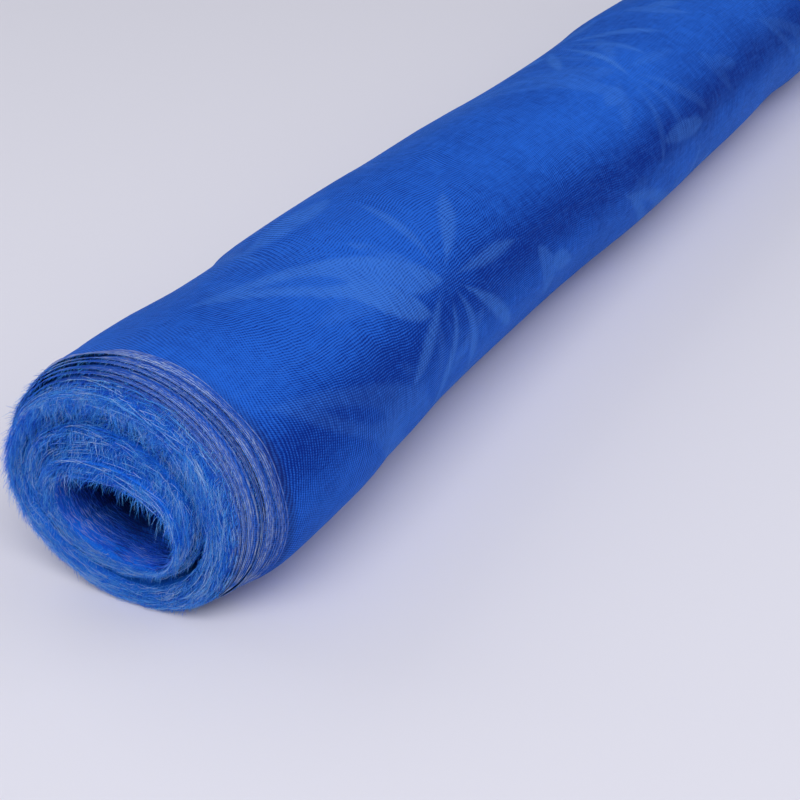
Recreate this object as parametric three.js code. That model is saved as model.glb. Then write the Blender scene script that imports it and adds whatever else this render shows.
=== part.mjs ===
// Insect screen mesh on a soft roll that lies on its side, in millimetres, with +Z up.
// The roll lies along X, its telescoped near end at -X. The origin is under the middle of its length, on
// the surface that it lies on. It was wound on a bar that was then drawn out, so a flattened hollow runs
// right through it, and the turns sag to a low oval. The winding is one solid of its whole form: the
// skin, the face of each end with its bundles of turns, and the hollow.

import * as THREE from 'three';

// Driving dimensions
const MESH_WIDTH = 1000;       // width of the mesh, so the length of every turn along the roll
const SECTORS = 64;            // steps around each section
const SKIN_STATIONS = 34;      // sections along the outside
const HOLLOW_STATIONS = 9;     // sections along the hollow
const AXIS_SIDE = 0.63;        // how far the tables' axis lies to the back of the middle of the whole width
const FLAT_DIP = 1.2;          // how far the oval is pressed flat against the surface under it
const GROOVE_DEPTH = 15;       // depth of the open gap between the outer and the inner bundle of turns
const PRESSED_SIDE = -40;      // direction in degrees, from +Y towards +Z, where the turns are pressed together
const TURN = 2 * Math.PI;

// The outside, a row for each section: its distance from the rear rim of the near end, its reach from the
// axis towards the front (-Y) and the back (+Y), its top above the surface, and how far its lower front
// corner bulges out, where the turns slump
const SKIN = [
  { at: 0, front: 60.5, back: 57.0, top: 97.4, slump: 0.8 },
  { at: 16, front: 62.4, back: 57.4, top: 97.2, slump: 1.8 },
  { at: 50, front: 62.6, back: 58.8, top: 96.8, slump: 1.6 },
  { at: 84, front: 60.8, back: 57.6, top: 96.0, slump: 0.8 },
  { at: 124, front: 59.8, back: 60.4, top: 97.4, slump: 0.4 },
  { at: 168, front: 58.4, back: 61.6, top: 98.0, slump: 0 },
  { at: 232, front: 57.8, back: 61.0, top: 97.4, slump: 0 },
  { at: 300, front: 58.6, back: 60.8, top: 97.0, slump: 0.2 },
  { at: 366, front: 61.2, back: 58.6, top: 96.2, slump: 0.4 },
  { at: 432, front: 62.6, back: 58.0, top: 96.4, slump: 0.4 },
  { at: 500, front: 61.4, back: 60.2, top: 97.6, slump: 0.6 },
  { at: 572, front: 62.0, back: 62.2, top: 98.0, slump: 0.2 },
  { at: 645, front: 60.6, back: 61.4, top: 97.0, slump: 0 },
  { at: 715, front: 62.2, back: 59.8, top: 96.4, slump: 1.2 },
  { at: 785, front: 60.4, back: 58.8, top: 97.2, slump: 0.8 },
  { at: 855, front: 59.2, back: 60.8, top: 97.8, slump: 0.2 },
  { at: 920, front: 60.6, back: 61.2, top: 96.8, slump: 0.6 },
  { at: 970, front: 60.8, back: 59.4, top: 96.4, slump: 1.0 },
  { at: MESH_WIDTH, front: 59.4, back: 59.0, top: 96.6, slump: 0.6 },
];
const SLUMP_SIDE = 218;        // direction in degrees of that corner, from +Y towards +Z
const SLUMP_SHARPNESS = 6;     // how narrow the bulge is, as a power of the cosine around it

// Soft lengthwise waves of the outside: waves around the roll, their height, how far along the roll they
// take to drift by one whole wave, and where they start
const WAVES = [
  { around: 4, height: 0.55, drift: 830, start: 0.6 },
  { around: 7, height: 0.4, drift: -410, start: 2.1 },
  { around: 11, height: 0.25, drift: 270, start: 4.4 },
];

// The face of the near end, from the outer rim in to the mouth of the hollow, a row for each ring: how far
// it stands ahead of the rear rim, its reach to the front and back, its top and bottom, how far its top
// sags in the middle, how far its underside is dragged to the front, how far it is held back on the pressed
// side, and how much of the gap's depth lies behind it
const NEAR_FACE = [
  { ahead: 2.2, front: 58.8, back: 56.4, top: 96.8, bottom: -1.2, sag: 0, drag: 1, held: 0, gap: 0 },
  { ahead: 5.2, front: 56.4, back: 55.4, top: 95.8, bottom: -1.2, sag: 0, drag: 3, held: 0, gap: 0 },
  { ahead: 8.4, front: 53.6, back: 54.2, top: 94.2, bottom: -1.2, sag: 0, drag: 5, held: 0, gap: 0 },
  { ahead: 11.6, front: 50.2, back: 52.8, top: 91.6, bottom: -1.0, sag: 0, drag: 6, held: 0, gap: 0 },
  { ahead: 14.4, front: 45.8, back: 51.0, top: 87.8, bottom: 0.2, sag: 0, drag: 6, held: 0, gap: 0 },
  { ahead: 16.0, front: 41.4, back: 48.8, top: 84.0, bottom: 3.2, sag: 0, drag: 5, held: 0.6, gap: 0 },
  { ahead: 15.2, front: 38.0, back: 46.4, top: 81.0, bottom: 7.4, sag: 0, drag: 4, held: 0.8, gap: 0 },
  { ahead: 15.0, front: 37.0, back: 45.7, top: 80.2, bottom: 8.6, sag: 0, drag: 3.5, held: 1, gap: 1 },
  { ahead: 13.6, front: 34.6, back: 44.8, top: 78.0, bottom: 11.2, sag: 0, drag: 2.5, held: 0, gap: 1 },
  { ahead: 13.4, front: 33.9, back: 44.2, top: 77.2, bottom: 12.0, sag: 0, drag: 2, held: 0, gap: 0 },
  { ahead: 17.2, front: 32.4, back: 42.0, top: 74.0, bottom: 13.2, sag: 0, drag: 1.5, held: 3, gap: 0 },
  { ahead: 19.0, front: 31.4, back: 39.8, top: 70.4, bottom: 14.2, sag: 0, drag: 1, held: 5, gap: 0 },
  { ahead: 18.6, front: 30.8, back: 38.2, top: 67.6, bottom: 15.0, sag: 0, drag: 1, held: 5, gap: 0 },
  { ahead: 21.2, front: 29.8, back: 35.8, top: 62.8, bottom: 15.8, sag: 1.0, drag: 0.5, held: 7, gap: 0 },
  { ahead: 22.4, front: 28.8, back: 33.4, top: 59.2, bottom: 16.6, sag: 1.5, drag: 0, held: 8, gap: 0 },
  { ahead: 21.0, front: 27.8, back: 31.2, top: 56.4, bottom: 17.6, sag: 2.0, drag: 0, held: 8, gap: 0 },
];

// The hollow that the bar left, a row for each section
const HOLLOW = [
  { at: -8, front: 27.2, back: 30.0, top: 54.4, bottom: 18.4, sag: 2.5 },
  { at: 60, front: 26.6, back: 29.0, top: 53.4, bottom: 18.8, sag: 2.5 },
  { at: 220, front: 25.4, back: 28.6, top: 53.8, bottom: 19.4, sag: 3.0 },
  { at: 400, front: 26.8, back: 27.2, top: 52.6, bottom: 19.0, sag: 3.5 },
  { at: 600, front: 26.0, back: 28.2, top: 53.6, bottom: 19.4, sag: 2.5 },
  { at: 800, front: 26.6, back: 27.0, top: 53.0, bottom: 18.8, sag: 3.0 },
  { at: 966, front: 27.0, back: 28.0, top: 54.0, bottom: 18.4, sag: 2.5 },
];

// The face of the far end, from the mouth of the hollow out to the rim: the turns that slid out of the near
// end left it dished
const FAR_FACE = [
  { behind: 21.6, front: 28.6, back: 30.4, top: 56.4, bottom: 17.0, sag: 2.0 },
  { behind: 19.0, front: 34.0, back: 36.6, top: 65.0, bottom: 14.2, sag: 1.0 },
  { behind: 16.4, front: 39.4, back: 41.6, top: 73.0, bottom: 10.8, sag: 0 },
  { behind: 14.6, front: 44.4, back: 46.4, top: 80.6, bottom: 7.6, sag: 0 },
  { behind: 10.4, front: 50.0, back: 51.2, top: 87.8, bottom: 4.2, sag: 0 },
  { behind: 5.2, front: 55.0, back: 55.4, top: 93.2, bottom: 1.2, sag: 0 },
  { behind: 1.4, front: 58.2, back: 58.0, top: 95.8, bottom: -0.6, sag: 0 },
];

const TELESCOPE = Math.max(...NEAR_FACE.map((ring) => ring.ahead));
const MIDDLE = (MESH_WIDTH - TELESCOPE) / 2;      // middle of the whole length, from the rear rim

// Value of a table's column at a distance along the roll, on a smooth curve through the rows
function along(table, column, at) {
  const last = table.length - 1;
  const next = Math.min(Math.max(table.findIndex((row) => row.at >= at), 1), last);
  const row = (index) => table[Math.min(Math.max(index, 0), last)];
  const [before, start, end, after] = [next - 2, next - 1, next, next + 1].map(row);
  const share = (at - start.at) / (end.at - start.at);
  const startSlope = (end[column] - before[column]) / (end.at - before.at) * (end.at - start.at);
  const endSlope = (after[column] - start[column]) / (after.at - start.at) * (end.at - start.at);
  const square = share * share;
  const cube = square * share;
  return (2 * cube - 3 * square + 1) * start[column] + (cube - 2 * square + share) * startSlope
    + (3 * square - 2 * cube) * end[column] + (cube - square) * endSlope;
}

// A whole row of a table at a distance along the roll
function rowAt(table, at) {
  return Object.fromEntries(Object.keys(table[0]).map((column) => [column, along(table, column, at)]));
}

// A section's oval: point at an angle from +Y towards +Z, with its top sagged and its underside dragged
function ovalPoint({ front, back, top, bottom, sag = 0, drag = 0 }, angle) {
  const topShare = Math.max(Math.sin(angle), 0) ** 4;
  const undersideShare = Math.max(-Math.sin(angle), 0) ** 2;
  return {
    y: (back - front) / 2 + (front + back) / 2 * Math.cos(angle) - drag * undersideShare,
    z: (top + bottom) / 2 + (top - bottom) / 2 * Math.sin(angle) - sag * topShare,
  };
}

// How far the turns slump out of the oval at an angle
function slumpReach(slump, angle) {
  const towardsCorner = Math.max(Math.cos(angle - THREE.MathUtils.degToRad(SLUMP_SIDE)), 0);
  return slump * towardsCorner ** SLUMP_SHARPNESS;
}

// Height of the waves on the outside, which fade out towards the pressed underside
function waveHeight(at, angle) {
  const fade = THREE.MathUtils.smoothstep(Math.sin(angle), -1, -0.3);
  const height = (wave) => wave.height * Math.sin(wave.around * angle + TURN * at / wave.drift + wave.start);
  return fade * WAVES.reduce((sum, wave) => sum + height(wave), 0);
}

// How firmly the turns are pressed together at an angle, from 0 where the gap is open to 1 where it is shut
function pressing(angle) {
  return THREE.MathUtils.smoothstep(Math.cos(angle - THREE.MathUtils.degToRad(PRESSED_SIDE)), 0.1, 0.95);
}

// Sections of the outside, from the near rim to the far rim
function skinRings() {
  return Array.from({ length: SKIN_STATIONS }, (_, index) => {
    const at = MESH_WIDTH * index / (SKIN_STATIONS - 1);
    const ring = rowAt(SKIN, at);
    ring.bottom = -FLAT_DIP;
    return (angle) => {
      const out = waveHeight(at, angle) + slumpReach(ring.slump, angle);
      const { y, z } = ovalPoint(ring, angle);
      return [at, y + out * Math.cos(angle), z + out * Math.sin(angle)];
    };
  });
}

// Sections of the hollow, from the far end to the near end
function hollowRings() {
  const [first, last] = [HOLLOW[0].at, HOLLOW.at(-1).at];
  return Array.from({ length: HOLLOW_STATIONS }, (_, index) => {
    const at = last + (first - last) * index / (HOLLOW_STATIONS - 1);
    const ring = rowAt(HOLLOW, at);
    return (angle) => {
      const { y, z } = ovalPoint(ring, angle);
      return [at, y, z];
    };
  });
}

// Rings of an end's face
function nearFaceRing(ring) {
  return (angle) => {
    const { y, z } = ovalPoint(ring, angle);
    const pressed = pressing(angle);
    return [-ring.ahead + ring.held * pressed + ring.gap * GROOVE_DEPTH * (1 - pressed), y, z];
  };
}

function farFaceRing(ring) {
  return (angle) => {
    const { y, z } = ovalPoint(ring, angle);
    return [MESH_WIDTH - ring.behind, y, z];
  };
}

// The closed band of faces through all the rings: outside, far face, hollow and near face
function rollGeometry() {
  const rings = [
    ...skinRings(),
    ...[...FAR_FACE].reverse().map(farFaceRing),
    ...hollowRings(),
    ...[...NEAR_FACE].reverse().map(nearFaceRing),
  ];
  const positions = [];
  const faces = [];
  rings.forEach((ring, ringIndex) => {
    const nextRing = (ringIndex + 1) % rings.length;
    for (let sector = 0; sector < SECTORS; sector += 1) {
      const [x, y, z] = ring(TURN * sector / SECTORS);
      positions.push(x - MIDDLE, y + AXIS_SIDE, Math.max(z, 0));
      const nextSector = (sector + 1) % SECTORS;
      const here = ringIndex * SECTORS + sector;
      const beside = ringIndex * SECTORS + nextSector;
      const ahead = nextRing * SECTORS + sector;
      const across = nextRing * SECTORS + nextSector;
      faces.push(here, beside, ahead, beside, across, ahead);
    }
  });
  const geometry = new THREE.BufferGeometry();
  geometry.setAttribute('position', new THREE.Float32BufferAttribute(positions, 3));
  geometry.setIndex(faces);
  geometry.computeVertexNormals();
  return geometry;
}

const blueMesh = new THREE.MeshStandardMaterial({ color: 0x2458c4, roughness: 0.62, metalness: 0 });

const roll = new THREE.Mesh(rollGeometry(), blueMesh);
roll.name = 'screen_mesh_roll';

const part = new THREE.Group();
part.add(roll);

export default part;
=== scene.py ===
import math

import bpy
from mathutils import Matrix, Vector


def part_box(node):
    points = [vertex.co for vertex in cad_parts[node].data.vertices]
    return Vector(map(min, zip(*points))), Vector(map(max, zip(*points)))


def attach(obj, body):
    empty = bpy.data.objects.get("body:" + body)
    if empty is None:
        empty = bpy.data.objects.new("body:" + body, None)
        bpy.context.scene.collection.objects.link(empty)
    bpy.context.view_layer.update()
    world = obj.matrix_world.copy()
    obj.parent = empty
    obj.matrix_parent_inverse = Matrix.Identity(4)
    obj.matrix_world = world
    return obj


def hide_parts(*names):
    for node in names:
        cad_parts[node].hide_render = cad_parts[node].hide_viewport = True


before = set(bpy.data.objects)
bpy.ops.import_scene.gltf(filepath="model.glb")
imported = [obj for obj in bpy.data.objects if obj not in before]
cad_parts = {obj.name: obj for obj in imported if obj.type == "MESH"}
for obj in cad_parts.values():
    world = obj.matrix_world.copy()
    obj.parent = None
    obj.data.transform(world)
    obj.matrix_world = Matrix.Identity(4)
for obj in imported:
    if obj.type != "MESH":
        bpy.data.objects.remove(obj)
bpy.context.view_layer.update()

# The inner turns: one length of blue woven screen mesh, 1 m wide and about 15 m long, wound soft in sixty
# turns. The bar it was wound on is gone, so a flattened hollow runs right through, and at the near end the
# turns have slid forward past each other in two bundles. Only their grip on each other holds them.
MM = 0.001
CIRCLE = 2 * math.pi
MESH_WIDTH = 1000.0        # width of the mesh in mm, which is the length of every turn along the roll
TURNS = 60
OUTER_ROUND = 344.0        # way round the outermost turn, mm
INNER_ROUND = 148.0        # way round the innermost turn, mm
FREE_EDGE = -40.0          # where the outer end of the mesh lies, in degrees from +Y towards +Z
TELESCOPE = 22.4           # how far the foremost turn stands ahead of the rear rim, mm
AXIS_SIDE = 0.63           # how far the axis of the tables lies towards +Y, mm
FLAT_DIP = 1.2             # how far the oval is pressed flat on the surface under it, mm
RIM_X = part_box("screen_mesh_roll")[0].x + TELESCOPE * MM
OUTER_TURN_ENDS = 1.05     # turn at which the outer turn's own piece ends and this one begins


def table(columns, *rows):
    """A short table with named columns, as a list of rows."""
    return [dict(zip(columns.split(", "), row)) for row in rows]


# The outside, by its distance from the rear rim of the near end: its reach from the axis to the front (-Y)
# and to the back, its top, and how far its lower front corner slumps out
OUTSIDE = table(
    "at, front, back, top, slump",
    (0, 60.5, 57.0, 97.4, 0.8),
    (16, 62.4, 57.4, 97.2, 1.8),
    (50, 62.6, 58.8, 96.8, 1.6),
    (84, 60.8, 57.6, 96.0, 0.8),
    (124, 59.8, 60.4, 97.4, 0.4),
    (168, 58.4, 61.6, 98.0, 0),
    (232, 57.8, 61.0, 97.4, 0),
    (300, 58.6, 60.8, 97.0, 0.2),
    (366, 61.2, 58.6, 96.2, 0.4),
    (432, 62.6, 58.0, 96.4, 0.4),
    (500, 61.4, 60.2, 97.6, 0.6),
    (572, 62.0, 62.2, 98.0, 0.2),
    (645, 60.6, 61.4, 97.0, 0),
    (715, 62.2, 59.8, 96.4, 1.2),
    (785, 60.4, 58.8, 97.2, 0.8),
    (855, 59.2, 60.8, 97.8, 0.2),
    (920, 60.6, 61.2, 96.8, 0.6),
    (970, 60.8, 59.4, 96.4, 1.0),
    (MESH_WIDTH, 59.4, 59.0, 96.6, 0.6),
)
SLUMP_SIDE = 218.0         # direction of that corner in degrees
SLUMP_SHARPNESS = 6

# Soft waves along the outside: how many lie around it, their height and the length of roll over which they
# drift by one wave, both in mm, and where they start, in radians
WAVES = table(
    "around, height, drift, start",
    (4, 0.55, 830, 0.6),
    (7, 0.4, -410, 2.1),
    (11, 0.25, 270, 4.4),
)

# The hollow that the bar left, by the same distance: its reach, top and bottom, and how far its top sags
HOLLOW = table(
    "at, front, back, top, bottom, sag",
    (-8, 27.2, 30.0, 54.4, 18.4, 2.5),
    (60, 26.6, 29.0, 53.4, 18.8, 2.5),
    (220, 25.4, 28.6, 53.8, 19.4, 3.0),
    (400, 26.8, 27.2, 52.6, 19.0, 3.5),
    (600, 26.0, 28.2, 53.6, 19.4, 2.5),
    (800, 26.6, 27.0, 53.0, 18.8, 3.0),
    (MESH_WIDTH, 27.0, 28.0, 54.0, 18.4, 2.5),
)

# Where each turn's near edge lies: how far ahead of the rear rim, its reach, top and bottom, how far its top
# sags and its underside is dragged to the front, how far it is held back where the turns are pressed
# together, and over what depth it comes up against the turn outside it
NEAR_EDGES = table(
    "turn, ahead, front, back, top, bottom, sag, drag, held, flare",
    (0, 1.0, 59.6, 56.8, 97.1, -1.2, 0, 0.5, 0, 3),
    (0.5, 2.2, 58.8, 56.5, 96.8, -1.2, 0, 1, 0, 3),
    (1.5, 5.2, 56.4, 55.8, 96.1, -1.2, 0, 3, 0, 4),
    (2.5, 7.0, 55.0, 55.2, 95.3, -1.2, 0, 4, 0, 7),
    (3.5, 10.4, 51.7, 54.3, 93.9, -1.1, 0, 5.6, 0, 9),
    (4.5, 11.6, 50.2, 53.5, 92.6, -1.0, 0, 6, 0, 11),
    (6, 12.8, 48.4, 52.0, 90.0, -0.5, 0, 6, 0, 13),
    (9, 14.4, 45.8, 51.0, 87.8, 0.2, 0, 6, 0, 17),
    (24, 16.0, 41.4, 48.8, 84.0, 3.2, 0, 5, 0.6, 30),
    (34, 15.2, 38.0, 46.4, 81.0, 7.4, 0, 4, 0.8, 38),
    (35.95, 15.0, 37.0, 45.7, 80.2, 8.6, 0, 3.5, 1, 40),
    (36.05, 13.6, 35.1, 44.8, 78.2, 10.4, 0, 2.5, 0, 40),
    (37.5, 13.4, 34.3, 44.2, 77.4, 11.4, 0, 2, 0, 40),
    (42, 17.2, 32.4, 42.0, 74.0, 13.2, 0, 1.5, 3, 42),
    (46, 19.0, 31.4, 39.8, 70.4, 14.2, 0, 1, 5, 44),
    (48, 18.6, 30.8, 38.2, 67.6, 15.0, 0, 1, 5, 44),
    (53, 21.2, 29.8, 35.8, 62.8, 15.8, 1.0, 0.5, 7, 45),
    (57, 22.4, 28.8, 33.4, 59.2, 16.6, 1.5, 0, 8, 45),
    (TURNS, 21.0, 27.8, 31.2, 56.4, 17.6, 2.0, 0, 8, 45),
)
PRESSED_SIDE = -40.0       # direction in degrees where the turns are pressed together
TERRACE = 0.8              # how much of each outer turn's slide falls at the pressed side, out of 1
TERRACE_GONE = (6, 10)     # turns over which that evens out
RIPPLE_AHEAD = 1.6         # unevenness of the edges along the roll, mm
RIPPLE_OUT = 0.9           # and across it, mm
RIPPLE_GROWS = (0, 5)      # turns over which it sets in

# Where each turn's far edge lies: the turns that slid forward left that end dished
FAR_EDGES = table(
    "turn, behind, front, back, top, bottom, sag",
    (0, 0.6, 59.0, 58.6, 96.4, -1.2, 0),
    (1, 1.4, 58.2, 58.0, 95.8, -0.6, 0),
    (5, 5.2, 55.0, 55.4, 93.2, 1.2, 0),
    (13, 10.4, 50.0, 51.2, 87.8, 4.2, 0),
    (26, 14.6, 44.4, 46.4, 80.6, 7.6, 0),
    (38, 16.4, 39.4, 41.6, 73.0, 10.8, 0),
    (50, 19.0, 34.0, 36.6, 65.0, 14.2, 1.0),
    (TURNS, 21.6, 28.6, 30.4, 56.4, 17.0, 2.0),
)
FAR_FLARE = 22.0           # depth over which the far edges come up against each other, mm
TUCK = 0.6                 # how much deeper the second turn lies than its share, under the outer turn, mm
TUCK_GROWS = (0.97, 1.06)  # turns over which that begins
TUCK_GONE = (2, 10)        # and over which it ends
FLOOR_LIFT = 0.15          # least height of the outermost turn above the surface, mm
TURN_LIFT = 0.1            # and how much more each turn inside it has, mm

# Distances across the mesh, in mm, where an inner turn has its corners. They are close together at the edges
# and follow the rows of the outside between them, so that no turn cuts through the one over it.
STATIONS = (
    0, 1.5, 3.5, 6, 9.5, 15, 24, 42, 84, 124, 168, 232, 300, 366, 432, 500, 572, 645, 715, 785, 855, 920,
    965, 984, 993, MESH_WIDTH,
)
STEPS_A_TURN = 60


class Wire:
    """One output of a node tree. Arithmetic on it adds Math nodes, so a shape or pattern is a formula."""

    def __init__(self, tree, socket=None):
        self.tree = tree
        self.socket = socket

    def node(self, kind, settings=None, inputs=None, output=0):
        """Adds a node, sets it up, fills or links its inputs, and gives one of its outputs."""
        made = self.tree.nodes.new(kind)
        for name, setting in (settings or {}).items():
            if name in ("smooth curve", "straight curve"):
                made.mapping.use_clip = False
                points = made.mapping.curves[0].points
                points[0].location, points[1].location = setting[0], setting[-1]
                for point in setting[1:-1]:
                    points.new(*point)
                for point in points:
                    point.handle_type = "VECTOR" if name == "straight curve" else "AUTO_CLAMPED"
                made.mapping.update()
            elif name == "stops":
                stops = made.color_ramp.elements
                stops[0].position, stops[1].position = setting[0][0], setting[-1][0]
                stops[0].color, stops[1].color = (*setting[0][1], 1), (*setting[-1][1], 1)
                for place, colour in setting[1:-1]:
                    stops.new(place).color = (*colour, 1)
            else:
                setattr(made, name, setting)
        for name, value in (inputs or {}).items():
            if isinstance(value, Wire):
                self.tree.links.new(value.socket, made.inputs[name])
            else:
                made.inputs[name].default_value = value
        return Wire(self.tree, made.outputs[output])

    def out(self, name):
        return Wire(self.tree, self.socket.node.outputs[name])

    def math(self, operation, *values):
        return self.node("ShaderNodeMath", {"operation": operation}, dict(enumerate(values)))

    def __add__(self, other):
        return self.math("ADD", self, other)

    __radd__ = __add__

    def __sub__(self, other):
        return self.math("SUBTRACT", self, other)

    def __rsub__(self, other):
        return self.math("SUBTRACT", other, self)

    def __mul__(self, other):
        return self.math("MULTIPLY", self, other)

    __rmul__ = __mul__

    def __truediv__(self, other):
        return self.math("DIVIDE", self, other)

    def __rtruediv__(self, other):
        return self.math("DIVIDE", other, self)

    def __pow__(self, other):
        return self.math("POWER", self, other)

    def __rpow__(self, other):
        return self.math("POWER", other, self)

    def __neg__(self):
        return self * -1

    def sin(self):
        return self.math("SINE", self)

    def cos(self):
        return self.math("COSINE", self)

    def floor(self):
        return self.math("FLOOR", self)

    def part(self):
        return self.math("FRACT", self)

    def size(self):
        return self.math("ABSOLUTE", self)

    def root(self):
        return self.math("SQRT", self)

    def least(self, other):
        return self.math("MINIMUM", self, other)

    def most(self, other):
        return self.math("MAXIMUM", self, other)

    def within(self, low=0, high=1):
        return self.most(low).least(high)

    def rise(self, low, high):
        """0 below low, 1 above high, and a smooth step between them."""
        return self.node(
            "ShaderNodeMapRange",
            {"interpolation_type": "SMOOTHSTEP"},
            {"Value": self, "From Min": low, "From Max": high},
        )

    def hump(self, middle, width):
        """1 at a middle, and falling off softly to both sides of it."""
        return self.math("EXPONENT", -((self - middle) / width) ** 2)

    def stripes(self, pitch):
        """Soft stripes from 0 to 1, one to each pitch."""
        return (self * (CIRCLE / pitch)).cos() * 0.5 + 0.5

    def towards(self, goal, share):
        return self + (goal - self) * share

    def through(self, rows, key, column, span, kind="smooth curve"):
        """A column of a table, on a curve through its rows, where this wire is the key over its span."""
        points = [(row[key] / span, row[column]) for row in rows]
        return self.node("ShaderNodeFloatCurve", {kind: points}, {"Value": self})

    def row_of(self, rows, key, span):
        """All the other columns of a table in the same way."""
        return {column: self.through(rows, key, column, span) for column in rows[0] if column != key}

    def point(self, x, y, z):
        return self.node("ShaderNodeCombineXYZ", None, {0: x, 1: y, 2: z})

    def noise(self, vector, scale, detail=2.0, rough=0.5):
        """Noise about 0, mostly between -0.5 and 0.5."""
        inputs = {"Vector": vector, "Scale": scale, "Detail": detail, "Roughness": rough}
        return self.node("ShaderNodeTexNoise", None, inputs) - 0.5

    def dot(self, vector):
        return self.node("ShaderNodeVectorMath", {"operation": "DOT_PRODUCT"}, {0: self, 1: vector}, 1)

    def colour(self, low, high):
        """A colour between two colours, by this wire as the share of the second."""
        return self.node("ShaderNodeMix", {"data_type": "RGBA"}, {0: self, 6: low, 7: high}, 2)


def oval(ring, angle):
    """Point of a section's oval at an angle, with its top sagged and its underside dragged."""
    side, lift = angle.cos(), angle.sin()
    y = (ring["back"] - ring["front"]) / 2 + (ring["front"] + ring["back"]) / 2 * side
    z = (ring["top"] + ring["bottom"]) / 2 + (ring["top"] - ring["bottom"]) / 2 * lift
    if "drag" in ring:
        y = y - ring["drag"] * lift.least(0) ** 2
    if "sag" in ring:
        z = z - ring["sag"] * lift.most(0) ** 4
    return y, z


def cloth_place(turn, across, lift=0):
    """Place of a point of the mesh, from its turn of the roll, its distance across from the near edge, and
    its height out from the cloth, both in mm. Its direction around the roll comes too, in radians."""
    angle = turn * CIRCLE + math.radians(FREE_EDGE)
    slid = turn + (turn * CIRCLE).sin() * (1 - turn.rise(*TERRACE_GONE)) * (TERRACE / CIRCLE)
    near = (slid / TURNS).row_of(NEAR_EDGES, "turn", TURNS)
    far = (turn / TURNS).row_of(FAR_EDGES, "turn", TURNS)

    uneven = turn.noise(turn.point(angle.cos() * 1.3, angle.sin() * 1.3, turn * 0.42), 1.0)
    loose = turn.noise(turn.point(angle.cos() * 1.1 + 7, angle.sin() * 1.1, turn * 0.3), 1.0)
    settled = turn.rise(*RIPPLE_GROWS)
    pressed = (angle - math.radians(PRESSED_SIDE)).cos().rise(-0.5, 1)
    near_x = near["held"] * pressed - near["ahead"] + uneven * settled * RIPPLE_AHEAD
    far_x = MESH_WIDTH - far["behind"] + uneven * settled * RIPPLE_AHEAD
    x = near_x.towards(far_x, across / MESH_WIDTH)

    at = (x / MESH_WIDTH).within()
    outside = at.row_of(OUTSIDE, "at", MESH_WIDTH)
    outside["bottom"] = -FLAT_DIP
    outside_y, outside_z = oval(outside, angle)
    out = outside["slump"] * (angle - math.radians(SLUMP_SIDE)).cos().most(0) ** SLUMP_SHARPNESS
    for wave in WAVES:
        phase = angle * wave["around"] + x * (CIRCLE / wave["drift"]) + wave["start"]
        out = out + phase.sin() * angle.sin().rise(-1, -0.3) * wave["height"]
    outside_y = outside_y + out * angle.cos()
    outside_z = outside_z + out * angle.sin()
    hollow_y, hollow_z = oval(at.row_of(HOLLOW, "at", MESH_WIDTH), angle)

    near_y, near_z = oval(near, angle)
    far_y, far_z = oval(far, angle)
    depth = turn / TURNS
    in_from_near = (across / near["flare"]).rise(0, 1)
    at_far_edge = (across - (MESH_WIDTH - FAR_FLARE)).rise(0, FAR_FLARE)
    y = near_y.towards(outside_y.towards(hollow_y, depth), in_from_near).towards(far_y, at_far_edge)
    z = near_z.towards(outside_z.towards(hollow_z, depth), in_from_near).towards(far_z, at_far_edge)
    edge_room = (1 - in_from_near).most(at_far_edge) * settled * RIPPLE_OUT
    under_outer_turn = turn.rise(*TUCK_GROWS) * (1 - turn.rise(*TUCK_GONE))
    tuck = under_outer_turn * in_from_near * (1 - at_far_edge) * TUCK
    out = lift + loose * edge_room - tuck
    y = y + out * angle.cos()
    z = (z + out * angle.sin()).most(turn * TURN_LIFT + FLOOR_LIFT)
    return (x, y, z), angle


def moved(shape, x, y, z):
    """Moves a shape's points to places in mm from the rear rim and the tables' axis."""
    place = shape.point(x * MM + RIM_X, (y + AXIS_SIDE) * MM, z * MM)
    return shape.node("GeometryNodeSetPosition", None, {"Geometry": shape, "Position": place})


def growth(name, counts, sizes):
    """A Geometry Nodes tree with a named input for each count and size, and those inputs as wires."""
    counts, sizes = counts.split(", "), sizes.split(", ")
    tree = bpy.data.node_groups.new(name, "GeometryNodeTree")
    tree.interface.new_socket("Geometry", in_out="OUTPUT", socket_type="NodeSocketGeometry")
    for label in counts:
        tree.interface.new_socket(label, in_out="INPUT", socket_type="NodeSocketInt")
    for label in sizes:
        tree.interface.new_socket(label, in_out="INPUT", socket_type="NodeSocketFloat")
    start = Wire(tree).node("NodeGroupInput")
    return tree, {label: start.out(label) for label in counts + sizes}


def bake_map(shape, u, v):
    """Gives a mesh its texture map, named OFBake."""
    settings = {"data_type": "FLOAT2", "domain": "CORNER"}
    inputs = {"Geometry": shape, "Name": "OFBake", "Value": shape.point(u, v, 0)}
    return shape.node("GeometryNodeStoreNamedAttribute", settings, inputs)


def dressed(shape, material):
    """Ends a tree: real geometry instead of instances, smooth, in its material."""
    shape = shape.node("GeometryNodeRealizeInstances", None, {"Geometry": shape})
    shape = shape.node("GeometryNodeSetShadeSmooth", None, {"Geometry": shape})
    shape = shape.node("GeometryNodeSetMaterial", None, {"Geometry": shape, "Material": material})
    end = shape.tree.nodes.new("NodeGroupOutput")
    shape.tree.links.new(shape.socket, end.inputs[0])


def grown(name, tree, sizes):
    """Runs a tree with its sizes and keeps what it makes as a plain mesh, riding with the roll."""
    piece = bpy.data.objects.new(name, bpy.data.meshes.new(name))
    bpy.context.scene.collection.objects.link(piece)
    modifier = piece.modifiers.new("Growth", "NODES")
    modifier.node_group = tree
    for socket in tree.interface.items_tree:
        if socket.name in sizes:
            modifier[socket.identifier] = sizes[socket.name]
    done = piece.evaluated_get(bpy.context.evaluated_depsgraph_get())
    mesh = bpy.data.meshes.new_from_object(done)
    piece.modifiers.remove(modifier)
    piece.data = mesh
    mesh.name = name
    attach(piece, "root")
    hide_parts("screen_mesh_roll")
    return piece


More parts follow.
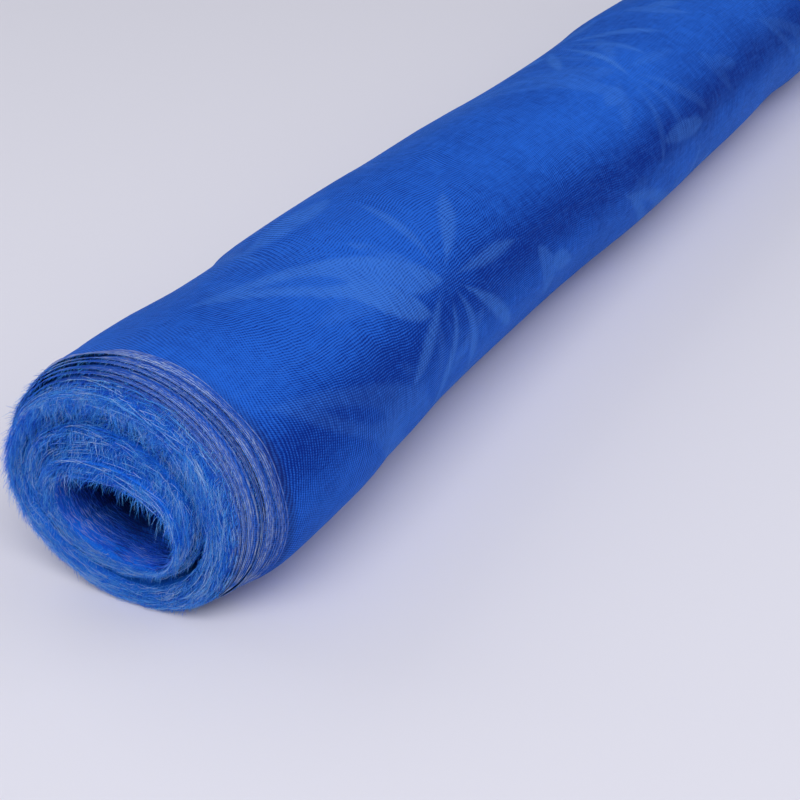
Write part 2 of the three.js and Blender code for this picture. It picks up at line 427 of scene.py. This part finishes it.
def length_wound(turn):
    """Length of mesh wound from the free edge up to a turn, in mm, whether a number or a wire."""
    return turn * OUTER_ROUND - turn * turn * ((OUTER_ROUND - INNER_ROUND) / (2 * TURNS))


# The cloth's finish: blue yarns about a millimetre apart, which beat against those of the turn beneath in
# fine curved lines, a paler woven-in pattern of leaf sprays, and a woven edge of grey and white yarns along
# both sides
YARN_PITCH = 0.95          # mm
BEAT_PITCH_ROUND = 1.2     # distance around the roll between the lines where two turns' yarns beat, mm
BEAT_PITCH_ACROSS = 1.6    # and along it, mm
DEEP_BLUE = (0.003, 0.023, 0.235, 1)
YARN_BLUE = (0.019, 0.134, 0.68, 1)
LEAF_BLUE = (0.070, 0.230, 0.72, 1)
HOLLOW_PAINTED_SHADE = (0.001, 0.006, 0.050, 1)
FRAYED_EDGE_PAINTED_LIGHT = (0.018, 0.200, 0.88, 1)
EDGE_GREY = (0.48, 0.58, 0.74, 1)
EDGE_SHADE = (0.010, 0.105, 0.52, 1)
# Colour of painted shade: in the gap between the first turns and on the side turned away
PAINTED_SHADE_COLOUR = (0.016, 0.024, 0.075, 1)
SHADE_BAND_AT = 190.0           # where a painted shade band runs along the outer turn, mm from the free edge
SHADE_BAND_WIDTH = 16.0
HIGHLIGHT_BAND_AT = 150.0          # where a painted highlight band runs along it, mm from the free edge
HIGHLIGHT_BAND_WIDTH = 20.0
SELVAGE_PITCH = 0.62       # distance between the thicker yarns of the woven edge, mm
OUTER_BAND = (2.1, 2.5)    # where its outer band of them ends, mm from the edge
INNER_BAND = (3.1, 3.3)    # and where its inner band begins
INNER_BAND_ENDS = (3.6, 3.8)

# Turns over which a look sets in, and for the last three also those over which it ends: the painted light on
# the frayed edges, the hollow's mouth, its side that the light reaches further into, the painted shade on the
# step between the bundles and the painted shadow in the gap in the outer one
FRAYED_TURNS = (5, 9)
MOUTH_TURNS = (58, 59)
LIT_TURNS = (59.3, 59.6, 59.7, TURNS)
GROOVE_TURNS = (35.7, 36, 39, 47)
GAP_TURNS = (2.3, 2.6, 3.1, 3.5)

# The leaves of one repeat: where each starts from the middle of the repeat, around and along the roll, its
# direction in degrees, its length and half width in mm, and how pale it is, or below 0 how far it is cut out
# of the leaves before it
LEAVES = table(
    "round, along, aim, length, half, pale",
    (5, 2, 8, 50, 5.0, 0.7),
    (6, 7, 46, 62, 5.4, 0.9),
    (1, 9, 84, 56, 4.6, 0.8),
    (-5, 7, 122, 50, 5.6, 0.9),
    (-9, 0, 168, 42, 4.4, 0.7),
    (-5, -7, 212, 40, 5.2, 0.5),
    (3, -9, 300, 54, 4.8, 0.8),
    (8, -4, 334, 58, 4.4, 0.9),
    (-60, -112, 62, 126, 14.0, 0.75),
    (-36, -66, 44, 62, 10.0, 0.9),
    (-48, -88, 58, 46, 5.0, -0.8),
    (-34, -36, 70, 34, 4.0, -0.7),
    (-72, -58, 84, 70, 8.0, 0.6),
    (54, 98, 204, 40, 9.0, 0.6),
    (40, 120, 250, 30, 7.0, 0.7),
    (66, -78, 100, 30, 7.0, 0.5),
)
REPEAT_ROUND = 172.0       # the pattern's repeat around the roll and along it, mm
REPEAT_ACROSS = 296.0
SPRAY_ROUND = 176.0        # where the middle of one spray lies, mm from the free edge
SPRAY_ACROSS = 156.0       # and from the near edge
LEAF_TAPER = 0.7           # how late a leaf narrows to its tip
LEAF_FULLNESS = 2.9        # brings its widest place to about its half width on each side
LEAF_OUTLINE = (-1.2, 3.0)  # how far inside its outline a leaf begins to show and shows in full, mm


def leaf_sprays(around, across):
    """How pale the woven-in leaves are at a place on the cloth, in a half-drop repeat."""
    around = (around - SPRAY_ROUND) / REPEAT_ROUND + 0.5
    across = (across - SPRAY_ACROSS) / REPEAT_ACROSS + 0.5
    drop = (across.floor() / 2).part()
    local_round = ((around + drop).part() - 0.5) * REPEAT_ROUND
    local_across = (across.part() - 0.5) * REPEAT_ACROSS
    place = around.point(local_round, local_across, 0)
    paleness = None
    for leaf in LEAVES:
        aim = math.radians(leaf["aim"])
        way = (math.cos(aim), math.sin(aim), 0)
        side = (-math.sin(aim), math.cos(aim), 0)
        start = Vector((leaf["round"], leaf["along"], 0))
        share = place.dot([part / leaf["length"] for part in way]) - start.dot(Vector(way)) / leaf["length"]
        share = share.within()
        off = (place.dot(side) - start.dot(Vector(side))).size()
        width = share * (1 - share) ** LEAF_TAPER * (LEAF_FULLNESS * leaf["half"])
        mask = (width - off).rise(*LEAF_OUTLINE) * leaf["pale"]
        if paleness is None:
            paleness = mask
        elif leaf["pale"] < 0:
            paleness = paleness * (1 + mask)
        else:
            paleness = paleness.most(mask)
    return paleness


def on_turns(around, starts, full, falls=None, gone=None):
    """1 on some turns of the roll and 0 off them, from the distance around from the free edge in mm."""
    mask = around.rise(length_wound(starts), length_wound(full))
    if gone:
        mask = mask * (1 - around.rise(length_wound(falls), length_wound(gone)))
    return mask


def blank_material(name):
    """A material with nothing in it yet, and the two directions of its piece's map as wires."""
    material = bpy.data.materials.new(name)
    material.use_nodes = True
    material.node_tree.nodes.clear()
    bake = Wire(material.node_tree).node("ShaderNodeUVMap", {"uv_map": "OFBake"})
    parts = bake.node("ShaderNodeSeparateXYZ", None, {0: bake})
    return material, parts.out("X"), parts.out("Y")


def finished(material, inputs):
    """Ends a material in a Principled shader with these inputs."""
    tree = material.node_tree
    finish = Wire(tree).node("ShaderNodeBsdfPrincipled", None, inputs)
    end = tree.nodes.new("ShaderNodeOutputMaterial")
    tree.links.new(finish.socket, end.inputs["Surface"])
    return material


def beat_lines(around, across, spot, sway, drift):
    """The lines where two turns' yarns beat, from dark 0 to light 1, and how clear they are at each spot."""
    fanned = 0.98 ** across * 42
    shaken = around.noise(around.point(around * 0.14, across * 0.14, 9), 1.0, 1.0) * 1.5
    lengthwise = (around + fanned + sway * 30 + shaken).stripes(BEAT_PITCH_ROUND)
    crosswise = (across + drift * 46 + around * 0.35 - shaken).stripes(BEAT_PITCH_ACROSS)
    share = (around.noise(spot, 10.7, 1.0) * 4 + 0.35).rise(0, 1) * 0.5 + 0.25
    breaks = around.noise(around.point(around * 0.5, across * 0.5, 3), 1.0, 2.0, 0.6)
    lines = (lengthwise.towards(crosswise, share) - 0.5) * 1.25 * (1 + breaks * 2.4) + 0.5
    clear = (around.noise(spot, 16.3, 2.0) * 2.4 + 0.9).rise(0, 1) * (1 - across.rise(170, 420) * 0.75)
    return lines, clear


def edged(colour, around, across, end_streaks, mouth):
    """Lays painted light on the frayed edges, painted shade on the step, deep in the hollow, in the gap
    and on the side turned away, and the woven edges over the cloth's colour. How far the woven edges'
    yarns stand up comes with it."""
    edge = across.least(MESH_WIDTH - across)
    # Painted light: the inner turns' frayed edges are made a lighter blue, lifting the shade among their yarn
    # ends
    frayed = on_turns(around, *FRAYED_TURNS) * (1 - edge.rise(4, 9))
    colour = frayed.colour(colour, FRAYED_EDGE_PAINTED_LIGHT)
    # Painted shade on the step between the bundles, darker where the yarn ends streak it
    groove_painted_shade = on_turns(around, *GROOVE_TURNS) * (1 - edge.rise(9, 16))
    colour = (groove_painted_shade * (0.7 + end_streaks)).most(0).colour(colour, DEEP_BLUE)
    # Painted shade deep in the hollow, which begins further in on the side that the light reaches
    shaded = ((across - 5 - on_turns(around, *LIT_TURNS) * 34) / 20).rise(0, 1)
    colour = (mouth * shaded * 0.94).colour(colour, HOLLOW_PAINTED_SHADE)

    fine = edge.stripes(SELVAGE_PITCH)
    flecks = around.noise(around.point(around * 0.42, edge * 2.6, 0), 1.0, 3.0, 0.7)
    band = (1 - edge.rise(*OUTER_BAND)) + edge.rise(*INNER_BAND) * (1 - edge.rise(*INNER_BAND_ENDS))
    worn = around.rise(2.4 * OUTER_ROUND, 9 * OUTER_ROUND)
    # Painted shade on the side of the roll turned away, at the front (-Y): near the first turns' edges the
    # cloth darkens and the woven edge dims
    direction = around / OUTER_ROUND * CIRCLE + math.radians(FREE_EDGE)
    painted_side_light = ((direction.cos() + 1) * 0.5 + 0.55).least(1)
    side_painted_shade = (1 - painted_side_light) * (1 - edge.rise(5, 9)) * (1 - worn) * 0.9
    colour = side_painted_shade.colour(colour, PAINTED_SHADE_COLOUR)
    selvage = band * (1 - worn) * (fine * 0.5 + 0.38 + flecks * 2.6).within() * painted_side_light
    edge_colour = (fine * 0.5 + 0.3 + flecks * 3).within().colour(EDGE_SHADE, EDGE_GREY)
    colour = selvage.colour(colour, edge_colour)
    # Painted shadow in the gap between the first turns' edges
    gap_painted_shadow = on_turns(around, *GAP_TURNS) * (1 - edge.rise(4, 7))
    colour = (gap_painted_shadow * (0.62 - flecks * 2)).most(0).colour(colour, PAINTED_SHADE_COLOUR)
    return colour, fine * band


def mesh_cloth(name, length, first_length):
    """The mesh's material, for a piece that holds a length of it from first_length on, both in mm."""
    material, u, v = blank_material(name)
    around = u * length + first_length
    across = v * MESH_WIDTH
    spot = around.node("ShaderNodeTexCoord").out("Object")
    sway = around.noise(spot, 9.0, 2.0)
    drift = around.noise(spot, 13.0, 1.0)
    cloudy = around.noise(spot, 15.0, 3.0, 0.6)
    mottled = around.noise(around.point(around * 0.24, across * 0.16, 5), 1.0, 2.0, 0.6)
    end_streaks = around.noise(around.point(around * 1.1, across * 0.05, 0), 1.0, 2.0)
    pick_streaks = around.noise(around.point(around * 0.05, across * 1.1, 7), 1.0, 2.0)

    cover = 1 - (1 - around.stripes(YARN_PITCH) ** 2) * (1 - across.stripes(YARN_PITCH) ** 2)
    lines, clear = beat_lines(around, across, spot, sway, drift)
    woven = (lines - 0.5) * clear * 0.9 + (cover - 0.5) * 0.22 + (end_streaks + pick_streaks) * 0.6
    # Painted shade and painted highlight: a dark band and a lighter band along the outer turn, standing in
    # for how the light falls on its sheen. lie holds both.
    from_free_edge = around + sway * 9
    painted_highlight = from_free_edge.hump(HIGHLIGHT_BAND_AT, HIGHLIGHT_BAND_WIDTH)
    painted_shade_band = from_free_edge.hump(SHADE_BAND_AT, SHADE_BAND_WIDTH)
    lie = painted_highlight * 0.18 - painted_shade_band * 0.52
    mouth = on_turns(around, *MOUTH_TURNS)
    tone = (woven + lie + cloudy * 0.7 + mottled * 0.5 + mouth * 0.3 + 0.57).within()
    colour = tone.colour(DEEP_BLUE, YARN_BLUE)

    ragged = drift * 9 + end_streaks * 4
    sprays = leaf_sprays(around + ragged, across + pick_streaks * 5)
    sprays_under = leaf_sprays(around + ragged + OUTER_ROUND * 0.96 - 40, across + 31)
    patchy = 0.52 + lines * 0.55 + pick_streaks * 1.4 + cloudy * 1.1
    pale = (sprays * 0.5).most(sprays_under * 0.22) * patchy * (1 - mouth)
    colour = pale.within().colour(colour, LEAF_BLUE)
    colour, edge_relief = edged(colour, around, across, end_streaks, mouth)

    height = cover * 0.5 + lines * clear * 0.5 + edge_relief * 0.8
    bump = around.node("ShaderNodeBump", None, {"Strength": 0.4, "Distance": 0.0003, "Height": height})
    return finished(material, {
        "Base Color": colour,
        "Roughness": 0.62 - tone * 0.1,
        "IOR": 1.12,
        "Specular IOR Level": 0.3,
        "Specular Tint": (0.35, 0.68, 1.0, 1),
        "Sheen Weight": 0.14,
        "Sheen Roughness": 0.35,
        "Sheen Tint": (0.04, 0.42, 1.0, 1),
        "Normal": bump,
    })


def wound_cloth(name, material):
    """A tree that winds a grid of cloth into turns of the roll."""
    tree, sizes = growth(name, "Steps, Stations", "First turn, Last turn")
    inputs = {"Size X": 1.0, "Size Y": 1.0, "Vertices X": sizes["Stations"], "Vertices Y": sizes["Steps"]}
    cloth = sizes["Steps"].node("GeometryNodeMeshGrid", None, inputs)
    flat = cloth.node("GeometryNodeInputPosition")
    flat = flat.node("ShaderNodeSeparateXYZ", None, {0: flat})
    station = flat.out("X") + 0.5
    step = flat.out("Y") + 0.5
    turn = sizes["First turn"].towards(sizes["Last turn"], step)
    stops = [{"station": index, "across": across} for index, across in enumerate(STATIONS)]
    across = station.through(stops, "station", "across", len(STATIONS) - 1, "straight curve")
    (x, y, z), angle = cloth_place(turn, across)
    wound = length_wound(turn) - length_wound(sizes["First turn"])
    whole = length_wound(sizes["Last turn"]) - length_wound(sizes["First turn"])
    cloth = bake_map(cloth, wound / whole, across / MESH_WIDTH)
    cloth = moved(cloth, x, y, z)
    cloth = cloth.node("GeometryNodeFlipFaces", None, {"Mesh": cloth})
    dressed(cloth, material)
    return tree


inner_length = length_wound(TURNS) - length_wound(OUTER_TURN_ENDS)
inner_cloth = mesh_cloth("inner_turns_cloth", inner_length, length_wound(OUTER_TURN_ENDS))
inner_turns = grown("inner_turns", wound_cloth("winding", inner_cloth), {
    "First turn": OUTER_TURN_ENDS,
    "Last turn": float(TURNS),
    "Steps": int((TURNS - OUTER_TURN_ENDS) * STEPS_A_TURN),
    "Stations": len(STATIONS),
})
inner_length * MM

# The outer turn: the last turn of the same mesh, from its plain cut end, which lies low along the back of the
# roll. It is the skin that shows, so it has finer steps, and it takes the soft lengthwise waves of a roll
# that was handled.
OUTER_STEPS = 200
OUTER_STATIONS = 161
outer_length = length_wound(OUTER_TURN_ENDS)
outer_cloth = mesh_cloth("outer_turn_cloth", outer_length, 0.0)
outer_turn = grown("outer_turn", wound_cloth("last winding", outer_cloth), {
    "First turn": 0.0,
    "Last turn": OUTER_TURN_ENDS,
    "Steps": OUTER_STEPS,
    "Stations": OUTER_STATIONS,
})
outer_length * MM

# The frayed near and far edges: along both sides of the mesh its cross yarns end free, 2 to 5 mm past the
# last lengthwise yarn, so every turn's edge bristles with limp ends that droop over the turn below it. Where
# the edges rubbed, lengthwise yarns have come loose.
YARN_SIDES = 3
END_POINTS = 3             # points along a free end
LOOSE_POINTS = 4           # and along a loose yarn
SEEDS_A_PIECE = 20         # how far apart the pieces' random draws are kept
ROOT_DEPTH = 0.5           # how far a yarn end is fixed inside the edge, mm
FLOOR_ROOM = 0.25          # least height of a yarn above the surface, mm
TUFTS = 0.16               # how many tufts lie along a millimetre
ROOT_BLUE = (0.003, 0.030, 0.42, 1)

# The shades of yarns that lie side by side, from the back of the bristles to the front, on the edges and in
# the mouth of the hollow
BLUE_SHADES = [
    (0.0, (0.010, 0.085, 0.74)),
    (0.3, (0.024, 0.250, 0.98)),
    (0.72, (0.110, 0.460, 0.99)),
    (0.9, (0.450, 0.660, 0.99)),
]
# The darkest of the hollow's shades is painted shade, for yarns lying deep in the hollow
HOLLOW_SHADES = [
    (0.0, (0.002, 0.014, 0.12)),
    (0.15, (0.012, 0.080, 0.72)),
    (0.45, (0.030, 0.180, 0.95)),
    (0.75, (0.130, 0.330, 0.97)),
    (1.0, (0.58, 0.66, 0.98)),
]


def yarn_finish(name, stops):
    """A yarn's material: its colour from a ramp of shades, darker towards its root."""
    material, shade, along = blank_material(name)
    ramp = shade.node("ShaderNodeValToRGB", {"stops": stops}, {0: shade})
    return finished(material, {
        "Base Color": (0.66 + along.rise(0, 0.4) * 0.34).colour(ROOT_BLUE, ramp),
        "Roughness": 0.45,
        "Specular IOR Level": 0.25,
        "Specular Tint": (0.5, 0.75, 1.0, 1),
    })


def chance(hair, seed, low=0.0, high=1.0):
    """A random number for each yarn, the same all along it."""
    inputs = {2: low, 3: high, 7: hair, 8: seed}
    return hair.node("FunctionNodeRandomValue", {"data_type": "FLOAT"}, inputs, 1)


def bare_yarns(sizes, steps):
    """As many straight curves as the tree's Count says, with each one's number and the way along it."""
    count = sizes["Count"]
    points = count.node("GeometryNodePoints", None, {"Count": count})
    line = count.node("GeometryNodeCurvePrimitiveLine")
    line = line.node("GeometryNodeResampleCurve", {"mode": "COUNT"}, {"Curve": line, "Count": steps})
    copies = points.node("GeometryNodeInstanceOnPoints", None, {"Points": points, "Instance": line})
    number = copies.node("GeometryNodeInputIndex")
    settings = {"data_type": "INT", "domain": "INSTANCE"}
    inputs = {"Geometry": copies, "Name": "yarn", "Value": number}
    copies = copies.node("GeometryNodeStoreNamedAttribute", settings, inputs)
    yarns = copies.node("GeometryNodeRealizeInstances", None, {"Geometry": copies})
    hair = yarns.node("GeometryNodeInputNamedAttribute", {"data_type": "INT"}, {"Name": "yarn"})
    along = yarns.node("GeometryNodeSplineParameter")
    return yarns, hair, along


def spun(yarns, along, shade, thickness, taper, material):
    """Ends a tree of curves: yarns that taper to their ends, with their shade in the texture map."""
    tree = yarns.tree
    settings = {"data_type": "FLOAT", "domain": "POINT"}
    for label, value in (("shade", shade), ("along", along)):
        inputs = {"Geometry": yarns, "Name": label, "Value": value}
        yarns = yarns.node("GeometryNodeStoreNamedAttribute", settings, inputs)
    section = yarns.node("GeometryNodeCurvePrimitiveCircle", None, {"Resolution": YARN_SIDES, "Radius": MM})
    scale = thickness * (1 - along * taper)
    inputs = {"Curve": yarns, "Profile Curve": section, "Scale": scale, "Fill Caps": True}
    mesh = yarns.node("GeometryNodeCurveToMesh", None, inputs)
    shade = mesh.node("GeometryNodeInputNamedAttribute", {"data_type": "FLOAT"}, {"Name": "shade"})
    along = mesh.node("GeometryNodeInputNamedAttribute", {"data_type": "FLOAT"}, {"Name": "along"})
    mesh = bake_map(mesh, shade, along)
    for label in ("yarn", "shade", "along"):
        mesh = mesh.node("GeometryNodeRemoveAttribute", None, {"Geometry": mesh, "Name": label})
    dressed(mesh, material)
    return tree


def turn_at(length):
    """The turn at a length of mesh wound from the free edge, the other way round from length_wound."""
    narrowing = (OUTER_ROUND - INNER_ROUND) / (2 * TURNS)
    return (OUTER_ROUND - (OUTER_ROUND ** 2 - length * (4 * narrowing)).root()) / (2 * narrowing)


def turn_between(sizes, share):
    """The turn at a share of the mesh's length from the tree's first turn to its last."""
    first, last = length_wound(sizes["First turn"]), length_wound(sizes["Last turn"])
    return turn_at(first.towards(last, share))


def frayed_ends(name, material):
    """A tree of yarn ends along one edge of the mesh, from one turn of the roll to another. Tufts of them
    lean the same way, and each droops and curls a little in its own way."""
    tree, sizes = growth(
        name,
        "Count, Seed",
        "First turn, Last turn, Across, Way, Depth, Shortest, Longest, Thickness, Sideways, Droop",
    )
    yarns, hair, along = bare_yarns(sizes, END_POINTS)
    seed = sizes["Seed"] * SEEDS_A_PIECE
    turn = turn_between(sizes, (hair + chance(hair, seed)) / sizes["Count"])
    inwards = ROOT_DEPTH + sizes["Depth"] * chance(hair, seed + 9)
    (x, y, z), angle = cloth_place(turn, sizes["Across"] - sizes["Way"] * inwards)
    tuft = turn.noise(turn.point(x * TUFTS, y * TUFTS, z * TUFTS), 1.0, 1.0)
    sideways = (tuft * 3.2 + chance(hair, seed + 1, -0.7, 0.7)) * sizes["Sideways"]
    outward = chance(hair, seed + 2, -0.45, 0.5)

    # They are worn short underneath and along the front of the first turns, and stay longer beside the step,
    # in the mouth of the hollow, and where they are combed back at the back of the roll
    length = sizes["Shortest"].towards(sizes["Longest"], chance(hair, seed + 3) ** 1.6)
    rubbed_under = angle.sin().rise(-0.5, 0.35) * 0.5 + 0.5
    sheltered = 1 + (turn.rise(30, 36) - turn.rise(36, 37) + turn.rise(56, TURNS)) * 0.35
    held_in = (1 - turn.rise(3, 7)) * angle.cos().rise(0.7, -0.2) * 0.65
    combed_back = angle.cos().rise(0.55, 1) * (1 - turn.rise(20, 30)) * 0.45
    length = length * rubbed_under * sheltered * (1 - held_in) * (1 + combed_back)

    droop = sizes["Droop"] * chance(hair, seed + 4, 0.4, 1.5)
    curl = chance(hair, seed + 5, -0.18, 0.18) * (along * 4.2 + chance(hair, seed + 6, 0.0, 6.0)).sin()
    side = (sideways * along + curl * along) * length
    out = outward * along * length
    x = x + sizes["Way"] * length * (along - droop.least(1.2) * 0.38 * along ** 2)
    y = y + out * angle.cos() - side * angle.sin()
    z = z + out * angle.sin() + side * angle.cos() - length * droop * along ** 2
    yarns = moved(yarns, x, y, z.most(FLOOR_ROOM + chance(hair, seed + 7, 0.0, 0.6)))
    ridges = turn.noise(turn.point(turn * 0.3, angle.cos() * 1.2, angle.sin() * 1.2), 1.0, 2.0)
    shade = (chance(hair, seed + 8, 0.0, 0.84) + tuft * 0.8 + ridges * 0.9).within(0.02, 0.98)
    return spun(yarns, along, shade, sizes["Thickness"], 0.7, material)


def loose_yarns(name, material):
    """A tree of yarns that lie along the turns near an edge, lifted a little from the cloth."""
    tree, sizes = growth(
        name,
        "Count, Seed",
        "First turn, Last turn, Nearest, Farthest, Shortest, Longest, Lift, Thickness",
    )
    yarns, hair, along = bare_yarns(sizes, LOOSE_POINTS)
    seed = sizes["Seed"] * SEEDS_A_PIECE
    turn = turn_between(sizes, chance(hair, seed + 1))
    length = sizes["Shortest"].towards(sizes["Longest"], chance(hair, seed + 2) ** 1.8)
    around = OUTER_ROUND - turn * ((OUTER_ROUND - INNER_ROUND) / TURNS)
    there = turn + (along - 0.5) * length / around
    bow = (along * math.pi).sin()
    stray = chance(hair, seed + 3, -0.35, 0.35) * (along - 0.5) * length
    across = sizes["Nearest"].towards(sizes["Farthest"], chance(hair, seed + 4)) + stray
    across = across - bow * chance(hair, seed + 5, 0.0, 0.9)
    lift = sizes["Lift"] * (0.3 + bow * chance(hair, seed + 6, 0.2, 1.4))
    (x, y, z), angle = cloth_place(there.least(TURNS), across, lift)
    yarns = moved(yarns, x, y, z.most(FLOOR_ROOM))
    cluster = turn.noise(turn.point(turn * 0.9, angle.cos() * 1.6, angle.sin() * 1.6), 1.0, 1.0)
    # Painted shade: yarns farther in from the edge, deep in the hollow, take darker shades
    shade = chance(hair, seed + 8, 0.2, 1.0) + cluster * 1.5 - across.rise(6, 30) * 1.2
    return spun(yarns, along, shade.within(0.02, 0.98), sizes["Thickness"], 0.5, material)


# The free ends, in mm: a short coat and a longer, thinner one on all but the first few turns, a coat of
# their own on those, and others rooted deeper on the step between the bundles and the ledge under it
YARN_ENDS = table(
    "Piece, Count, First turn, Last turn, Across, Way, Depth, "
    "Shortest, Longest, Thickness, Sideways, Droop, Seed",
    ("near_yarn_ends", 13500, 5.0, 60.0, 0.0, -1.0, 0.0, 1.6, 4.6, 0.11, 0.8, 0.7, 1),
    ("near_yarn_wisps", 9600, 7.0, 60.0, 0.0, -1.0, 0.0, 2.2, 6.0, 0.075, 1.3, 0.85, 2),
    ("near_rim_ends", 4200, 0.1, 7.0, 0.0, -1.0, 0.0, 1.0, 4.4, 0.09, 0.9, 0.3, 3),
    ("near_gap_ends", 2600, 35.2, 37.4, 0.0, -1.0, 7.0, 1.5, 4.5, 0.1, 1.6, 0.5, 9),
    ("near_ledge_ends", 3000, 36.5, 46.0, 0.0, -1.0, 1.5, 1.5, 3.6, 0.1, 2.4, 0.2, 10),
    ("far_yarn_ends", 5600, 0.5, 60.0, MESH_WIDTH, 1.0, 0.0, 1.6, 4.6, 0.11, 0.8, 0.7, 4),
)
blue_yarn = yarn_finish("blue_yarn", BLUE_SHADES)
ends_tree = frayed_ends("yarn ends", blue_yarn)
for ends in YARN_ENDS:
    grown(ends["Piece"], ends_tree, ends)

# The loose yarns, in mm, between a nearest and a farthest line from the edge
LOOSE_YARNS = table(
    "Piece, Count, First turn, Last turn, Nearest, Farthest, Shortest, Longest, Lift, Thickness, Seed",
    ("near_loose_yarns", 3200, 5.0, 60.0, -1.5, 1.0, 3.0, 16.0, 0.35, 0.09, 5),
    ("hollow_loose_yarns", 3400, 59.0, 60.0, -0.5, 26.0, 2.5, 8.0, -0.6, 0.095, 6),
)
hollow_yarn = yarn_finish("hollow_yarn", HOLLOW_SHADES)
for strays, finish in zip(LOOSE_YARNS, (blue_yarn, hollow_yarn)):
    grown(strays["Piece"], loose_yarns(strays["Piece"], finish), strays)

# The selvage yarns: the weaver closes each side of the mesh with a few thicker yarns, grey and white twisted
# with blue, which stand up in fine flecked lines where the outer turns' edges show. They run on round the
# roll with the cloth.
EDGE_YARN_STEPS = 150      # points in a turn
EDGE_YARN_STARTS = 0.02    # turn at which they start, just past the free edge
FLECKED_SHADES = [
    (0.0, (0.010, 0.080, 0.54)),
    (0.4, (0.045, 0.190, 0.74)),
    (0.65, (0.31, 0.41, 0.68)),
    (1.0, (0.70, 0.75, 0.88)),
]
SELVAGES = table(
    "piece, yarns, turns, across, way, seed",
    ("near_edge_yarns", 5, 10, 0.0, -1.0, 7),
    ("far_edge_yarns", 4, 5, MESH_WIDTH, 1.0, 8),
)


def edge_yarns(name, material):
    """A tree of thicker yarns side by side along one edge of the mesh, over some turns of the roll."""
    tree, sizes = growth(
        name,
        "Count, Steps, Seed",
        "First turn, Last turn, Across, Way, Spacing, Thickness",
    )
    yarns, hair, along = bare_yarns(sizes, sizes["Steps"])
    seed = sizes["Seed"] * SEEDS_A_PIECE
    turn = sizes["First turn"].towards(sizes["Last turn"], along)
    stray = turn.noise(turn.point(turn * 9, hair * 3.7, seed), 1.0, 2.0)
    inwards = (hair + 0.4 + stray * 0.5) * sizes["Spacing"]
    (x, y, z), angle = cloth_place(turn, sizes["Across"] - sizes["Way"] * inwards, 0.1 + stray.size() * 0.3)
    yarns = moved(yarns, x, y, z.most(FLOOR_ROOM))
    flecks = turn.noise(turn.point(turn * 55, hair * 5.3, seed), 1.0, 2.0, 0.8)
    # Painted shade: the selvage yarns are darker on the side of the roll turned away, at the front (-Y)
    side_painted_shade = angle.cos().rise(-0.1, -0.95) * 0.34
    shade = (flecks * 2.2 + 0.66 - side_painted_shade - turn * 0.03 + stray * 0.4).within(0.02, 0.98)
    return spun(yarns, along, shade, sizes["Thickness"], 0, material)


edge_tree = edge_yarns("edge yarns", yarn_finish("flecked_yarn", FLECKED_SHADES))
for selvage in SELVAGES:
    grown(selvage["piece"], edge_tree, {
        "Count": selvage["yarns"],
        "Steps": selvage["turns"] * EDGE_YARN_STEPS,
        "Seed": selvage["seed"],
        "First turn": EDGE_YARN_STARTS,
        "Last turn": float(selvage["turns"]),
        "Across": selvage["across"],
        "Way": selvage["way"],
        "Spacing": 0.75,
        "Thickness": 0.15,
    })

# The setting: a plain pale surface under the roll, and soft studio light from above, behind and the side. The
# camera stands off the near end at the front and looks down along the roll.
FLOOR_COLOUR = (0.79, 0.78, 0.86, 1)
FLOOR_REACH = 6.0          # m
STUDIO_COLOUR = (0.90, 0.92, 1.0, 1)
CAMERA_PLACE = (-0.8948, -0.3210, 0.3520)
CAMERA_AIM = (0.779, 0.412, -0.473)

corners = [(-FLOOR_REACH, -FLOOR_REACH, 0), (FLOOR_REACH, -FLOOR_REACH, 0)]
corners += [(FLOOR_REACH, FLOOR_REACH, 0), (-FLOOR_REACH, FLOOR_REACH, 0)]
floor_mesh = bpy.data.meshes.new("floor")
floor_mesh.from_pydata(corners, [], [(0, 1, 2, 3)])
floor = bpy.data.objects.new("floor", floor_mesh)
bpy.context.scene.collection.objects.link(floor)
floor_finish = bpy.data.materials.new("floor_finish")
floor_finish.use_nodes = True
floor_finish.node_tree.nodes["Principled BSDF"].inputs["Base Color"].default_value = FLOOR_COLOUR
floor_finish.node_tree.nodes["Principled BSDF"].inputs["Roughness"].default_value = 0.7
floor_mesh.materials.append(floor_finish)

world = bpy.data.worlds.new("studio")
world.use_nodes = True
world.node_tree.nodes["Background"].inputs["Color"].default_value = STUDIO_COLOUR
world.node_tree.nodes["Background"].inputs["Strength"].default_value = 0.34
bpy.context.scene.world = world


def softbox(name, place, size, power):
    """A soft lamp turned to the roll, with its place and size in metres and its power in watts."""
    light = bpy.data.lights.new(name, "AREA")
    light.shape = "RECTANGLE"
    light.size, light.size_y = size
    light.energy = power
    lamp = bpy.data.objects.new(name, light)
    lamp.location = place
    lamp.rotation_mode = "QUATERNION"
    lamp.rotation_quaternion = (-Vector(place)).to_track_quat("-Z", "Y")
    bpy.context.scene.collection.objects.link(lamp)


softbox("main softbox", (-2.0, -0.9, 2.4), (3.0, 2.2), 66)
softbox("back softbox", (0.3, 2.8, 2.2), (3.0, 2.0), 20)
softbox("side softbox", (1.2, -2.4, 2.0), (2.6, 2.0), 17)

camera = bpy.data.objects.new("camera", bpy.data.cameras.new("camera"))
camera.data.sensor_width = 36
camera.data.lens = 72
camera.location = CAMERA_PLACE
camera.rotation_mode = "QUATERNION"
camera.rotation_quaternion = Vector(CAMERA_AIM).to_track_quat("-Z", "Y")
bpy.context.scene.collection.objects.link(camera)
bpy.context.scene.camera = camera
bpy.context.scene.view_settings.view_transform = "Standard"
